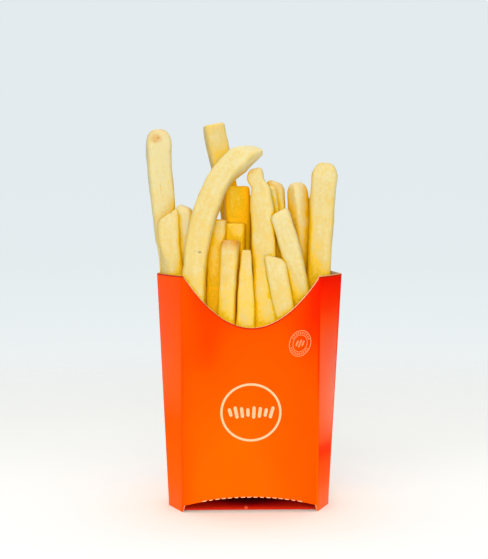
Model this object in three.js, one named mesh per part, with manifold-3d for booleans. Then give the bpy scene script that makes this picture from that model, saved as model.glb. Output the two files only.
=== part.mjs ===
// French fries standing in a folded paperboard carton. Millimetres, +Z up, the carton's front faces -Y.
// The origin is at the centre of the carton's floor panel, on its underside, where it rests.
import * as THREE from "three";
import { mergeVertices } from "three/addons/utils/BufferGeometryUtils.js";
import Module from "manifold-3d";

const wasm = await Module();
wasm.setup();

// ---- Carton: a six-sided tapered sleeve, wider and deeper at the rim ----
const BOARD = 0.5; // thickness of the paperboard
const RIM_HEIGHT = 100; // height of the rim at the four slanted side panels
const CREASE_HALF = 28.5; // half width of the front and back panels, from crease to crease
const CORNER_HALF_FLOOR = 34.5; // half width over the glued side corners, at the floor
const CORNER_HALF_RIM = 39.6;
const HALF_DEPTH_FLOOR = 14;
const HALF_DEPTH_RIM = 18;

// The front panel's cut-away: a parabola that hangs from crease to crease.
const SCOOP_DEPTH = 21.5;
const SCOOP_STEPS = 32;

// The back panel's top: a low arch, with its creases a little above the corners.
const BACK_CREASE_RISE = 1.7;
const BACK_ARCH_RISE = 6.3;
const BACK_STEPS = 24;

// The foot arch cut into the lower edge of the front and back panels.
const FOOT_ARCH_END = 2.8; // height of the arch at the creases
const FOOT_ARCH_TOP = 6.2; // height of the arch at its middle
const FOOT_ARCH_HALF = 28;
const FOOT_STEPS = 20;

// The bottom: a floor panel with a flap turned up behind each foot arch.
const TRAY_HALF_DEPTH = 10.5; // from the middle to each flap's fold
const FLAP_HALF_WIDTH = 28.8;
const FLAP_LENGTH = 10.2;
const FLAP_LEAN = 18; // degrees that a flap rises from the floor

// ---- Fries ----
const CLEARANCE = 0.35; // between the fries and the board
const BACK_MARGIN = 2; // how far past its creases the back panel's clearance reaches
const CORE_FLOOR = 10; // the core is the hidden heap that the showing fries stand on
const CORE_TOP = 76;
const FOOT_HEIGHT = 62; // where each showing fry starts, inside the core
const RINGS = 10; // sections along a fry
const SECTION_CUT = 0.56; // how far a section's flat sides reach before the cut-off corners
const END_ROUNDING = 0.74; // size of a fry's last section
const END_LENGTH = 1.6; // length over which a tip rounds off
const UNEVEN_SIZE = 0.07; // random share added to or taken off each section
const UNEVEN_PLACE = 0.35; // random sideways shift of each section
const HOOK_FROM = 0.895; // where a hooked tip starts to step aside, as a share of the length
const HOOK_TO = 0.95; // where it has stepped aside in full
const SEED = 11;

// Each showing fry runs on one bent line from its foot, at FOOT_HEIGHT, to its tip.
// foot: x, y. tip: x, y, z. bow: how far the middle of the line is pulled out of straight, as x, y, z.
// size: width and depth of the cut potato. turn: degrees about its own line. taper: size at the tip, as
// a share of the size at the foot. taperFrom: share of the length where it starts to narrow. hook: how
// far the last stretch bends sideways.
const FRIES = [
  {
    name: "tall left",
    foot: [-29.8, 4.4],
    tip: [-39.2, 5, 161],
    bow: [-2.6, 0, 10],
    size: [8.4, 8],
    turn: 6,
    taper: 1.32,
  },
  {
    name: "short left",
    foot: [-29.6, -4.4],
    tip: [-34.9, -4, 125],
    size: [10.4, 7.6],
    turn: -4,
    taper: 0.88,
  },
  {
    name: "behind left",
    foot: [-24, -1],
    tip: [-27.6, -3, 128.5],
    size: [7.6, 7.4],
    turn: -15,
    taper: 0.9,
  },
  {
    name: "curved",
    foot: [-23.6, -11.6],
    tip: [5, -2, 151.6],
    bow: [-19.2, -3, 40],
    size: [9.8, 9],
    turn: -8,
    taper: 0.36,
    taperFrom: 0.89,
  },
  { name: "tall back", foot: [5, 9.4], tip: [-15.2, 9, 163.5], size: [8.8, 8.4], turn: 10 },
  { name: "gold back", foot: [-3.6, 2], tip: [-5.6, 2.6, 137], size: [10.8, 7.4], turn: 10 },
  { name: "second left", foot: [-15.4, -4.6], tip: [-13.6, -4.5, 123], size: [7.4, 7.4], turn: -14 },
  { name: "second middle", foot: [-7, -3.5], tip: [-6, -3.5, 121.5], size: [8.2, 7.6], turn: -12 },
  { name: "front short", foot: [-11, -11.6], tip: [-8.4, -10.4, 114.6], size: [7.2, 7.4], turn: -16 },
  { name: "wedge", foot: [-2.2, -12.4], tip: [-2, -11.6, 110.5], size: [10.6, 8], turn: -6, taper: 0.38 },
  {
    name: "centre tall",
    foot: [7.4, -11],
    tip: [4.5, -3, 144.5],
    size: [10.2, 8.2],
    turn: -10,
    taper: 0.62,
    taperFrom: 0.8,
    hook: -2.3,
  },
  { name: "front right", foot: [19, -12], tip: [10.1, -10.4, 107.6], size: [9, 7.6], turn: -8 },
  { name: "slanted", foot: [28, -9.4], tip: [11.9, -8, 126.6], bow: [1.8, 0, 0], size: [8.4, 8], turn: -8 },
  { name: "behind centre", foot: [19, -1.5], tip: [8, -1, 137], size: [7, 7], turn: 12, taper: 0.7 },
  { name: "tan back", foot: [16, 5], tip: [11.3, 4.4, 139], size: [6.9, 7], turn: -12 },
  { name: "back right", foot: [28, 5], tip: [20, 4.4, 138.6], size: [7.6, 7.2], turn: 36 },
  { name: "sliver", foot: [22, 11.4], tip: [25.4, 12, 132], size: [7, 7], turn: 5 },
  {
    name: "tall right",
    foot: [29.7, -1],
    tip: [32.3, 1.5, 147.1],
    bow: [-2.2, 0, 0],
    size: [9.3, 8.8],
    turn: -6,
    taper: 1.2,
  },
  // The rear rows.
  { name: "rear far left", foot: [-24.4, 10], tip: [-25.4, 12, 122], size: [7.8, 7.4], turn: 18 },
  { name: "rear left", foot: [-15, 12], tip: [-18.6, 13.4, 119], size: [8.2, 7.6], turn: -6 },
  { name: "rear inner left", foot: [-16, 5.4], tip: [-19.6, 5.6, 122], size: [7.6, 7.6], turn: 9 },
  { name: "rear middle", foot: [-6, 12.6], tip: [-2.4, 16.4, 133], size: [7.8, 7.6], turn: 5 },
  { name: "rear inner middle", foot: [6.4, 4.4], tip: [4, 5.6, 132], size: [7.6, 7.4], turn: -14 },
  { name: "rear right", foot: [9, 12.4], tip: [8, 16, 135], bow: [2, 1, 0], size: [8, 7.6], turn: -10 },
  { name: "rear outer right", foot: [16.4, 12.4], tip: [16.6, 14.6, 126], size: [7.6, 7.4], turn: 12 },
  { name: "rear far right", foot: [25, 10], tip: [30.4, 9.6, 121], size: [7.4, 7.4], turn: 28 },
];

// Short fries fill the gaps between the long ones. Each row has its depth, its lowest and its highest tip.
const SHORT_ROWS = [
  { y: -4.5, lowest: 79, highest: 84 },
  { y: 4, lowest: 88, highest: 104 },
  { y: 11, lowest: 92, highest: 106 },
];
const SHORT_HALF_SPAN = 25;
const SHORT_PER_ROW = 7;
const SHORT_SHIFT = 2.5;
const SHORT_SIZE = 7.6;
const SHORT_TURN = 45;

// ---- Colours ----
const BOARD_ORANGE = 0xff5b08;
const POTATO_GOLD = 0xe8d080;
const BOARD_ROUGHNESS = 0.45;
const POTATO_ROUGHNESS = 0.6;

// ---- Solids ----

// A closed mesh through rings of points that all have the same count, each ring wound anticlockwise
// as seen from the last ring's side.
function loft(rings) {
  const count = rings[0].length;
  const points = rings.flat();
  const faces = [];
  for (let r = 0; r + 1 < rings.length; r++) {
    for (let i = 0; i < count; i++) {
      const a = r * count + i;
      const b = r * count + ((i + 1) % count);
      faces.push(a, b, b + count, a, b + count, a + count);
    }
  }
  const last = (rings.length - 1) * count;
  for (let i = 1; i + 1 < count; i++) {
    faces.push(0, i + 1, i);
    faces.push(last, last + i, last + i + 1);
  }
  return new THREE.BufferGeometry().setFromPoints(points).setIndex(faces);
}

const MERGE_DISTANCE = 1e-4; // points closer than this are one

function toSolid(geometry) {
  const bare = geometry.clone();
  bare.deleteAttribute("normal");
  bare.deleteAttribute("uv");
  const merged = mergeVertices(bare, MERGE_DISTANCE);
  return new wasm.Manifold(
    new wasm.Mesh({
      numProp: 3,
      vertProperties: merged.attributes.position.array,
      triVerts: new Uint32Array(merged.index.array),
    }),
  );
}

function toGeometry(solid) {
  const mesh = solid.getMesh();
  const geometry = new THREE.BufferGeometry();
  geometry.setAttribute("position", new THREE.BufferAttribute(new Float32Array(mesh.vertProperties), 3));
  geometry.setIndex(new THREE.BufferAttribute(new Uint32Array(mesh.triVerts), 1));
  geometry.computeVertexNormals();
  return geometry;
}

// The largest body of a solid: what is left is loose scraps, and the skins of hollows that joining sealed.
function largestBody(solid) {
  return solid.decompose().reduce((most, body) => (body.volume() > most.volume() ? body : most));
}

// An outline of [x, z] points, extruded along Y from y0 to y1.
function plateAlongY(outline, y0, y1) {
  const shape = new THREE.Shape(outline.map(([x, z]) => new THREE.Vector2(x, z)));
  const geometry = new THREE.ExtrudeGeometry(shape, { depth: y1 - y0, bevelEnabled: false, steps: 1 });
  geometry.rotateX(Math.PI / 2);
  geometry.translate(0, y1, 0);
  return toSolid(geometry);
}

// The sleeve's outline at a height, moved inwards by an inset: six corners, anticlockwise from above.
function sleeveOutline(z, inset) {
  const share = z / RIM_HEIGHT;
  const corner = THREE.MathUtils.lerp(CORNER_HALF_FLOOR, CORNER_HALF_RIM, share);
  const depth = THREE.MathUtils.lerp(HALF_DEPTH_FLOOR, HALF_DEPTH_RIM, share);
  const slant = Math.hypot(corner - CREASE_HALF, depth);
  const innerDepth = depth - inset;
  const innerCorner = corner - (inset * slant) / depth;
  const innerCrease = innerCorner - (innerDepth * (corner - CREASE_HALF)) / depth;
  return [
    new THREE.Vector3(innerCorner, 0, z),
    new THREE.Vector3(innerCrease, innerDepth, z),
    new THREE.Vector3(-innerCrease, innerDepth, z),
    new THREE.Vector3(-innerCorner, 0, z),
    new THREE.Vector3(-innerCrease, -innerDepth, z),
    new THREE.Vector3(innerCrease, -innerDepth, z),
  ];
}

function sleeve(z0, z1, inset) {
  return toSolid(loft([sleeveOutline(z0, inset), sleeveOutline(z1, inset)]));
}

function arc(halfWidth, endHeight, middleHeight, steps) {
  const points = [];
  for (let i = 0; i <= steps; i++) {
    const share = -1 + (2 * i) / steps;
    const height = middleHeight + (endHeight - middleHeight) * share * share;
    points.push([halfWidth * share, height]);
  }
  return points;
}

// ---- Carton ----

const FAR = 60; // past every side of the carton
const PAST = 1; // how far a cutting solid reaches past what it cuts
const ABOVE = 2 * RIM_HEIGHT; // past its top
const backHeight = RIM_HEIGHT + BACK_CREASE_RISE + BACK_ARCH_RISE;

function frontTopCut() {
  const scoop = arc(CREASE_HALF, RIM_HEIGHT, RIM_HEIGHT - SCOOP_DEPTH, SCOOP_STEPS);
  const outline = [[-FAR, RIM_HEIGHT], ...scoop, [FAR, RIM_HEIGHT], [FAR, ABOVE], [-FAR, ABOVE]];
  return plateAlongY(outline, -FAR, 0);
}

function backTopCut() {
  const creaseHeight = RIM_HEIGHT + BACK_CREASE_RISE;
  const top = arc(CREASE_HALF, creaseHeight, backHeight, BACK_STEPS);
  const corner = [CORNER_HALF_RIM, RIM_HEIGHT];
  const outline = [
    [-FAR, RIM_HEIGHT],
    [-corner[0], corner[1]],
    ...top,
    corner,
    [FAR, RIM_HEIGHT],
    [FAR, ABOVE],
    [-FAR, ABOVE],
  ];
  return plateAlongY(outline, 0, FAR);
}

function footArchCut(y0, y1) {
  const arch = arc(FOOT_ARCH_HALF, FOOT_ARCH_END, FOOT_ARCH_TOP, FOOT_STEPS);
  const outline = [[FOOT_ARCH_HALF, -PAST], ...arch.reverse(), [-FOOT_ARCH_HALF, -PAST]];
  return plateAlongY(outline.reverse(), y0, y1);
}

// The floor panel reaches into the side panels, so that board meets board.
function floorPanel() {
  const whole = sleeve(0, BOARD, BOARD / 2);
  const strip = new THREE.BoxGeometry(2 * FAR, 2 * TRAY_HALF_DEPTH, 4 * BOARD);
  return whole.intersect(toSolid(strip));
}

// A flap leans in from its fold on the floor. side is -1 for the front and 1 for the back.
function flap(side) {
  const lean = THREE.MathUtils.degToRad(FLAP_LEAN);
  const plate = new THREE.BoxGeometry(2 * FLAP_HALF_WIDTH, BOARD, FLAP_LENGTH);
  plate.translate(0, (-side * BOARD) / 2, FLAP_LENGTH / 2);
  plate.rotateX(side * (Math.PI / 2 - lean));
  plate.translate(0, side * TRAY_HALF_DEPTH, 0);
  const aboveFloor = new THREE.BoxGeometry(2 * FAR, 2 * FAR, 2 * FAR).translate(0, 0, FAR);
  return toSolid(plate).intersect(toSolid(aboveFloor));
}

function cartonSolid() {
  const wallTop = backHeight + PAST;
  const walls = sleeve(0, wallTop, 0).subtract(sleeve(-PAST, wallTop + PAST, BOARD));
  const cutDepth = HALF_DEPTH_FLOOR - PAST;
  return walls
    .subtract(frontTopCut())
    .subtract(backTopCut())
    .subtract(footArchCut(-FAR, -cutDepth))
    .subtract(footArchCut(cutDepth, FAR))
    .add(floorPanel())
    .add(flap(-1))
    .add(flap(1));
}

// ---- Fries ----

let randomState = SEED;
function random() {
  randomState = (randomState * 16807) % 2147483647;
  return randomState / 2147483647;
}

function unevenness(amount) {
  return amount * (2 * random() - 1);
}

// A square section with cut-off corners, as eight [across, deep] points.
function fryProfile(width, depth) {
  const w = width / 2;
  const d = depth / 2;
  const cut = SECTION_CUT;
  return [
    [w, -d * cut],
    [w, d * cut],
    [w * cut, d],
    [-w * cut, d],
    [-w, d * cut],
    [-w, -d * cut],
    [-w * cut, -d],
    [w * cut, -d],
  ];
}

function fryLine({ foot, tip, bow = [0, 0, 0] }) {
  const start = new THREE.Vector3(foot[0], foot[1], FOOT_HEIGHT);
  const end = new THREE.Vector3(...tip);
  const middle = start.clone().lerp(end, 0.5).add(new THREE.Vector3(...bow));
  return new THREE.QuadraticBezierCurve3(start, middle, end);
}

function frySolid(fry) {
  const { size, turn = 0, taper = 1, taperFrom = 0, hook = 0 } = fry;
  const line = fryLine(fry);
  const length = line.getLength();
  const turned = THREE.MathUtils.degToRad(turn);
  const rings = [];
  for (let r = 0; r < RINGS; r++) {
    const isTip = r === RINGS - 1;
    const share = isTip ? 1 : ((r / (RINGS - 2)) * (length - END_LENGTH)) / length;
    const at = line.getPointAt(share);
    const along = line.getTangentAt(share);
    const across = new THREE.Vector3(Math.cos(turned), Math.sin(turned), 0);
    across.addScaledVector(along, -across.dot(along)).normalize();
    const deep = along.clone().cross(across);
    const rounding = isTip ? END_ROUNDING : 1;
    const narrowed = Math.max(share - taperFrom, 0) / (1 - taperFrom);
    const grow = THREE.MathUtils.lerp(1, taper, narrowed) * (1 + unevenness(UNEVEN_SIZE)) * rounding;
    at.x += unevenness(UNEVEN_PLACE) + hook * THREE.MathUtils.smoothstep(share, HOOK_FROM, HOOK_TO);
    at.y += unevenness(UNEVEN_PLACE);
    const profile = fryProfile(size[0] * grow, size[1] * grow);
    rings.push(profile.map(([a, d]) => at.clone().addScaledVector(across, a).addScaledVector(deep, d)));
  }
  return toSolid(loft(rings));
}

function shortFries() {
  const fries = [];
  for (const { y, lowest, highest } of SHORT_ROWS) {
    for (let i = 0; i < SHORT_PER_ROW; i++) {
      const x = SHORT_HALF_SPAN * (-1 + (2 * i) / (SHORT_PER_ROW - 1));
      const height = THREE.MathUtils.lerp(lowest, highest, random());
      const tip = [x + unevenness(SHORT_SHIFT), y + unevenness(SHORT_SHIFT), height];
      fries.push({ foot: [x, y], tip, size: [SHORT_SIZE, SHORT_SIZE], turn: unevenness(SHORT_TURN) });
    }
  }
  return fries;
}

// The showing fries and the core, joined, then trimmed to the room inside the carton.
function friesSolid() {
  const inset = BOARD + CLEARANCE;
  const sideTop = RIM_HEIGHT + BACK_CREASE_RISE + 2 * CLEARANCE;
  const backTop = backHeight + 2 * CLEARANCE;
  const backHalfWidth = CREASE_HALF + BACK_MARGIN;
  const aroundSides = new THREE.BoxGeometry(2 * FAR, 2 * FAR, sideTop).translate(0, 0, sideTop / 2);
  const behindBack = new THREE.BoxGeometry(2 * backHalfWidth, FAR, backTop);
  behindBack.translate(0, FAR / 2, backTop / 2);
  const outside = toSolid(aroundSides).add(toSolid(behindBack)).subtract(
    sleeve(-PAST, backTop + PAST, inset),
  );
  const core = sleeve(CORE_FLOOR, CORE_TOP, inset);
  const all = [...shortFries(), ...FRIES];
  const heap = all.reduce((sum, fry) => sum.add(frySolid(fry)), core);
  return largestBody(heap.subtract(outside));
}

// ---- Scene ----

function node(name, solid, color, roughness) {
  const material = new THREE.MeshStandardMaterial({ color, roughness, metalness: 0 });
  const mesh = new THREE.Mesh(toGeometry(solid), material);
  mesh.name = name;
  return mesh;
}

const friesInCarton = new THREE.Group();
friesInCarton.add(node("carton", cartonSolid(), BOARD_ORANGE, BOARD_ROUGHNESS));
friesInCarton.add(node("fries", friesSolid(), POTATO_GOLD, POTATO_ROUGHNESS));

export default friesInCarton;
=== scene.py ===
# %% [markdown]
# # French fries in a folded paperboard carton
#
# A small takeaway carton is one sheet of printed board, cut, creased and glued into a six-sided
# sleeve. The front is scooped out, the back ends in a low arch, and a floor panel with two flaps
# closes the foot. Fries of uneven length stand in it. The notebook first loads the measured solids,
# then sets up the camera, light and floor, folds the carton, prints it, and last cuts and fries the
# potatoes. Lengths are written in millimetres and turned to metres when a mesh is made.

import math

import bpy
import numpy as np
from mathutils import Matrix, Vector, noise
from mathutils.bvhtree import BVHTree


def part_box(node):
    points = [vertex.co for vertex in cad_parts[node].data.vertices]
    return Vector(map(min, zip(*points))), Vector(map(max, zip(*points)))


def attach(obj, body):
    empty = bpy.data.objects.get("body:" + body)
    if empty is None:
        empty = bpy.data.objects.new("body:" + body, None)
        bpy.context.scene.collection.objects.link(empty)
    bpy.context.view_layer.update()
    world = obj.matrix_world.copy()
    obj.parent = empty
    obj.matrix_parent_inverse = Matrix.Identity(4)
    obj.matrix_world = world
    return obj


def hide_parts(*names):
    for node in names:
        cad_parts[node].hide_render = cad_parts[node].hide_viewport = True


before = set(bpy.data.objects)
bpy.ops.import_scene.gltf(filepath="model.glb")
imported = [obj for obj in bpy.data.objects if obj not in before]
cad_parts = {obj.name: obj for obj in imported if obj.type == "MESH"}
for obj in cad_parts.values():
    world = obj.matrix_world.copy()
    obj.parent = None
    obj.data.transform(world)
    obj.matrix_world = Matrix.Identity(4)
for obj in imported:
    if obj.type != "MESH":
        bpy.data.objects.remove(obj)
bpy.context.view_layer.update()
MM = 0.001
print("nodes:", sorted(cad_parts))

# %% [markdown]
# ## Small helpers
#
# Colours are picked as the hex values that a screen shows, and Blender calculates in linear light,
# so one function turns the first into the second. A second one adds a node to a material, because a
# procedural finish is a chain of many small nodes. Spots are laid over a colour by their distance
# from a centre. Objects are made from arrays of points and faces, which is quicker than adding
# vertices one by one.


# %% Colour from a hex value
def linear(hex_colour):
    """An sRGB hex colour as linear red, green, blue and alpha."""
    shares = [int(hex_colour[i : i + 2], 16) / 255 for i in (1, 3, 5)]
    curve = [s / 12.92 if s <= 0.04045 else ((s + 0.055) / 1.055) ** 2.4 for s in shares]
    return (*curve, 1.0)


print("print orange in linear light:", [round(c, 3) for c in linear("#FF5B02")])


# %% One node with its settings and links
def add_node(tree, kind, inputs=None, stops=(), **settings):
    """Adds a node. Each input gets a value, or a link from another node or one of its outputs.

    A colour ramp also gets its stops, as pairs of a place and a hex colour.
    """
    node = tree.nodes.new(kind)
    for name, value in settings.items():
        setattr(node, name, value)
    for key, value in (inputs or {}).items():
        if isinstance(value, bpy.types.Node):
            value = value.outputs[0]
        if isinstance(value, bpy.types.NodeSocket):
            tree.links.new(value, node.inputs[key])
        else:
            node.inputs[key].default_value = value
    if stops:
        elements = node.color_ramp.elements
        while len(elements) < len(stops):
            elements.new(0.5)
        for element, (place, colour) in zip(elements, stops):
            element.position = place
            element.color = linear(colour)
    return node


# %% Spots of another colour
SPOT_CORE = 0.4  # a spot is at full strength inside this share of its half sizes
NOISE_RANGE = {"From Min": 0.3, "From Max": 0.7}  # Blender's noise seldom leaves this range


def with_spots(tree, where, colour, start, spots, over):
    """A colour with another over it: by a start share everywhere, by its own strength in each spot."""
    share = start
    for centre, halves, strength in spots:
        offset = add_node(
            tree, "ShaderNodeVectorMath", {0: where, 1: [c * MM for c in centre]}, operation="SUBTRACT"
        )
        scaled = add_node(
            tree,
            "ShaderNodeVectorMath",
            {0: offset, 1: [1 / (h * MM) for h in halves]},
            operation="MULTIPLY",
        )
        away = add_node(tree, "ShaderNodeVectorMath", {0: scaled}, operation="LENGTH")
        inside = add_node(
            tree,
            "ShaderNodeMapRange",
            {"Value": away.outputs["Value"], "From Min": 1, "From Max": SPOT_CORE, "To Max": strength},
        )
        share = add_node(tree, "ShaderNodeMath", {0: inside, 1: share}, operation="MAXIMUM")
    return add_node(
        tree, "ShaderNodeMix", {"Factor": share, 6: colour, 7: linear(over)}, data_type="RGBA"
    ).outputs[2]


# %% Materials, and meshes from arrays
def new_material(name):
    """An empty material and its node tree."""
    material = bpy.data.materials.new(name)
    material.use_nodes = True
    material.node_tree.nodes.clear()
    return material, material.node_tree


def mesh_object(name, points_mm, faces, materials, face_materials=None, crease_angle=35):
    """An object from points in millimetres. Edges that bend more than crease_angle stay sharp."""
    mesh = bpy.data.meshes.new(name)
    mesh.from_pydata((np.asarray(points_mm) * MM).tolist(), [], faces)
    for material in materials:
        mesh.materials.append(material)
    if face_materials is not None:
        mesh.polygons.foreach_set("material_index", face_materials)
    mesh.shade_smooth()
    mesh.set_sharp_from_angle(angle=math.radians(crease_angle))
    mesh.update()
    made = bpy.data.objects.new(name, mesh)
    bpy.context.scene.collection.objects.link(made)
    print(name, "has", len(mesh.polygons), "faces")
    return made


def smooth_step(low, high, value):
    """0 below low, 1 above high, and a soft curve between."""
    share = np.clip((value - low) / (high - low), 0, 1)
    return share * share * (3 - 2 * share)


# %% [markdown]
# ## Camera
#
# A longer lens from a little above the rim keeps the carton's sides almost upright, as a product
# picture does. The camera stands about 60 cm in front and 3 cm to the left. Its rotation is built
# from its own right, up and backward directions, so the small roll is exact.

# %% Camera
IMAGE_HEIGHT_PX = 559
FOCAL_PX = 1419.2
SENSOR_MM = 36.0
CAMERA_AT_MM = (-28.55, -603.4, 142.33)
CAMERA_PITCH = 4.2625  # degrees down
CAMERA_YAW = 2.4828  # degrees to the right
CAMERA_ROLL = 0.1942


def camera_rotation(pitch, yaw, roll):
    """The rotation of a camera that looks along +Y, turned right, tipped down, then rolled."""
    p, y, r = (math.radians(a) for a in (pitch, yaw, roll))
    right = Vector((math.cos(y), -math.sin(y), 0))
    forward = Vector((math.sin(y) * math.cos(p), math.cos(y) * math.cos(p), -math.sin(p)))
    up = right.cross(forward)
    rolled_right = right * math.cos(r) + up * math.sin(r)
    rolled_up = up * math.cos(r) - right * math.sin(r)
    return Matrix((rolled_right, rolled_up, -forward)).transposed()


camera_data = bpy.data.cameras.new("camera")
camera_data.sensor_fit = "AUTO"
camera_data.sensor_width = SENSOR_MM
camera_data.lens = FOCAL_PX * SENSOR_MM / IMAGE_HEIGHT_PX
camera_data.clip_start = 0.01
camera = bpy.data.objects.new("camera", camera_data)
bpy.context.scene.collection.objects.link(camera)
camera.location = Vector(CAMERA_AT_MM) * MM
camera.rotation_mode = "QUATERNION"
camera.rotation_quaternion = camera_rotation(CAMERA_PITCH, CAMERA_YAW, CAMERA_ROLL).to_quaternion()
bpy.context.scene.camera = camera
print("lens in mm:", round(camera_data.lens, 2))

# %% [markdown]
# ## Light and floor
#
# Food on a pale ground is lit by large soft boxes, so shadows have no edge. A key light stands high
# on the left, a weaker fill on the right, a smaller box in front and a broad one overhead. The room's
# own pale light does the rest, brighter behind the carton than in front of it. A studio hides the
# joint of floor and wall with a curved sweep of paper. Here the floor is a round sheet that fades out
# with distance, so it melts into the room's colour in every direction. Round the object its colour is
# a little lighter and warmer: painted bounce light from the board and the fries.

# %% Room light
BACKDROP_SLOPES = (0, 3.5, 6.5, 9.5, 12.5, 15)  # degrees below the horizon
BACKDROP_COLOURS = ("#E3EBEE", "#E4ECEE", "#EBF1F2", "#F2F3F2", "#F8F8F6", "#FAF9F7")
ROOM_LIGHT = "#FAF7F1"
ROOM_FRONT, ROOM_BACK = 0.36, 0.8  # the room is dim behind the camera and bright behind the carton
ROOM_BELOW = 0.45  # share of that light which comes from under the horizon

world = bpy.data.worlds.new("studio")
bpy.context.scene.world = world
world.use_nodes = True
world.node_tree.nodes.clear()
room = world.node_tree
direction = add_node(
    room, "ShaderNodeSeparateXYZ", {0: add_node(room, "ShaderNodeTexCoord").outputs["Generated"]}
)
lowest = math.sin(math.radians(BACKDROP_SLOPES[-1]))
slope = add_node(
    room, "ShaderNodeMapRange", {"Value": direction.outputs["Z"], "From Min": 0.0, "From Max": -lowest}
)
depths = [math.sin(math.radians(degrees)) / lowest for degrees in BACKDROP_SLOPES]
backdrop = add_node(room, "ShaderNodeValToRGB", {"Fac": slope}, stops=list(zip(depths, BACKDROP_COLOURS)))
strength = add_node(
    room,
    "ShaderNodeMapRange",
    {
        "Value": direction.outputs["Y"],
        "From Min": -0.5,
        "From Max": 0.5,
        "To Min": ROOM_FRONT,
        "To Max": ROOM_BACK,
    },
)
below = add_node(
    room,
    "ShaderNodeMapRange",
    {"Value": direction.outputs["Z"], "From Min": -0.1, "From Max": 0.0, "To Min": ROOM_BELOW},
)
shaded = add_node(room, "ShaderNodeMath", {0: strength, 1: below}, operation="MULTIPLY")
seen = add_node(room, "ShaderNodeBackground", {"Color": backdrop})
shining = add_node(room, "ShaderNodeBackground", {"Color": linear(ROOM_LIGHT), "Strength": shaded})
is_seen = add_node(room, "ShaderNodeLightPath").outputs["Is Camera Ray"]
backdrop_or_light = add_node(room, "ShaderNodeMixShader", {0: is_seen, 1: shining, 2: seen})
add_node(room, "ShaderNodeOutputWorld", {"Surface": backdrop_or_light})
print("room light:", ROOM_FRONT, "at the front and", ROOM_BACK, "at the back")


# %% Soft boxes
def soft_box(name, at_mm, aim_mm, side_mm, watts, colour):
    """A square area light at one point that faces another."""
    data = bpy.data.lights.new(name, "AREA")
    data.shape = "SQUARE"
    data.size = side_mm * MM
    data.energy = watts
    data.color = linear(colour)[:3]
    lamp = bpy.data.objects.new(name, data)
    lamp.location = Vector(at_mm) * MM
    facing = Vector(aim_mm) - Vector(at_mm)
    lamp.rotation_mode = "QUATERNION"
    lamp.rotation_quaternion = facing.to_track_quat("-Z", "Y")
    bpy.context.scene.collection.objects.link(lamp)
    print(name, watts, "W")


MIDDLE_MM = (0, 0, 80)
soft_box("key_box", (-430, -850, 620), MIDDLE_MM, 680, 3.6, "#FFFDF9")
soft_box("fill_box", (430, -880, 360), MIDDLE_MM, 680, 2.5, "#FCFDFF")
soft_box("front_box", (-40, -1000, 250), MIDDLE_MM, 420, 4.6, "#FEFEFC")
soft_box("top_box", (0, 60, 1080), MIDDLE_MM, 900, 4.0, "#FCFDFD")

# %% Floor
FLOOR_COLOUR = "#F4F7F7"
# Painted bounce light: the floor's colour round the object.
FLOOR_PAINTED_GLOW = "#FEFAF2"
PAINTED_GLOW_RADII = (28, 78)  # the painted glow is whole inside the first radius and gone at the second
FLOOR_RADIUS = 620
FADE_FROM = 60  # the floor is whole inside this radius and gone at its rim
FLOOR_SIDES = 96


def floor_material():
    """Matt paper: almost no shine, painted bounce light round the object, and clear towards the rim."""
    material, tree = new_material("matt_paper_sweep")
    where = add_node(tree, "ShaderNodeTexCoord").outputs["Object"]
    distance = add_node(tree, "ShaderNodeVectorMath", {0: where}, operation="LENGTH").outputs["Value"]
    fade = add_node(
        tree,
        "ShaderNodeMapRange",
        {"Value": distance, "From Min": FADE_FROM * MM, "From Max": FLOOR_RADIUS * MM},
        interpolation_type="SMOOTHERSTEP",
    )
    outside_glow = add_node(
        tree,
        "ShaderNodeMapRange",
        {"Value": distance, "From Min": PAINTED_GLOW_RADII[0] * MM, "From Max": PAINTED_GLOW_RADII[1] * MM},
        interpolation_type="SMOOTHSTEP",
    )
    colour = add_node(
        tree, "ShaderNodeValToRGB", {"Fac": outside_glow}, stops=[(0, FLOOR_PAINTED_GLOW), (1, FLOOR_COLOUR)]
    )
    paper = add_node(tree, "ShaderNodeBsdfPrincipled", {"Base Color": colour, "Roughness": 0.85})
    paper.inputs["Specular IOR Level"].default_value = 0.2
    clear = add_node(tree, "ShaderNodeBsdfTransparent")
    mixed = add_node(tree, "ShaderNodeMixShader", {0: fade, 1: paper, 2: clear})
    add_node(tree, "ShaderNodeOutputMaterial", {"Surface": mixed})
    return material


angles = np.linspace(0, 2 * math.pi, FLOOR_SIDES, endpoint=False)
rim = np.stack([np.cos(angles), np.sin(angles), np.zeros(FLOOR_SIDES)], axis=1) * FLOOR_RADIUS
floor = mesh_object("floor", rim, [list(range(FLOOR_SIDES))], [floor_material()])

# %% [markdown]
# ## Picture tone
#
# The plain Standard view keeps the printed orange as strong as it is, where a filmic curve would
# wash it out.

# %% Picture tone
bpy.context.scene.view_settings.view_transform = "Standard"
bpy.context.scene.view_settings.look = "None"
print("view:", bpy.context.scene.view_settings.view_transform)

# %% [markdown]
# ## The carton's outline
#
# Seen from above the sleeve is a hexagon: a front and a back panel, and two slanted panels on each
# side that meet at a corner. It is wider and deeper at the rim than at the foot, but the four long
# creases beside the front and back stay the same distance apart. So the six corners of the outline
# follow from the height alone, and moving the outline inwards gives the inner face of the board.

# %% Sizes of the carton
BOARD = 0.5  # thickness of the board
RIM_HEIGHT = 100.0
CREASE_HALF = 28.5
CORNER_HALF_FLOOR = 34.5
CORNER_HALF_RIM = 39.6
HALF_DEPTH_FLOOR = 14.0
HALF_DEPTH_RIM = 18.0

carton_low, carton_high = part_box("carton")
print("carton in mm:", [round(x / MM, 2) for x in carton_high - carton_low])


def lerp(a, b, share):
    """The value at a share of the way from a to b."""
    return a + (b - a) * share


def half_sizes(z):
    """Half the sleeve's width at its side corners, and half its depth, at a height."""
    share = z / RIM_HEIGHT
    corner = lerp(CORNER_HALF_FLOOR, CORNER_HALF_RIM, share)
    return corner, lerp(HALF_DEPTH_FLOOR, HALF_DEPTH_RIM, share)


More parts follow.
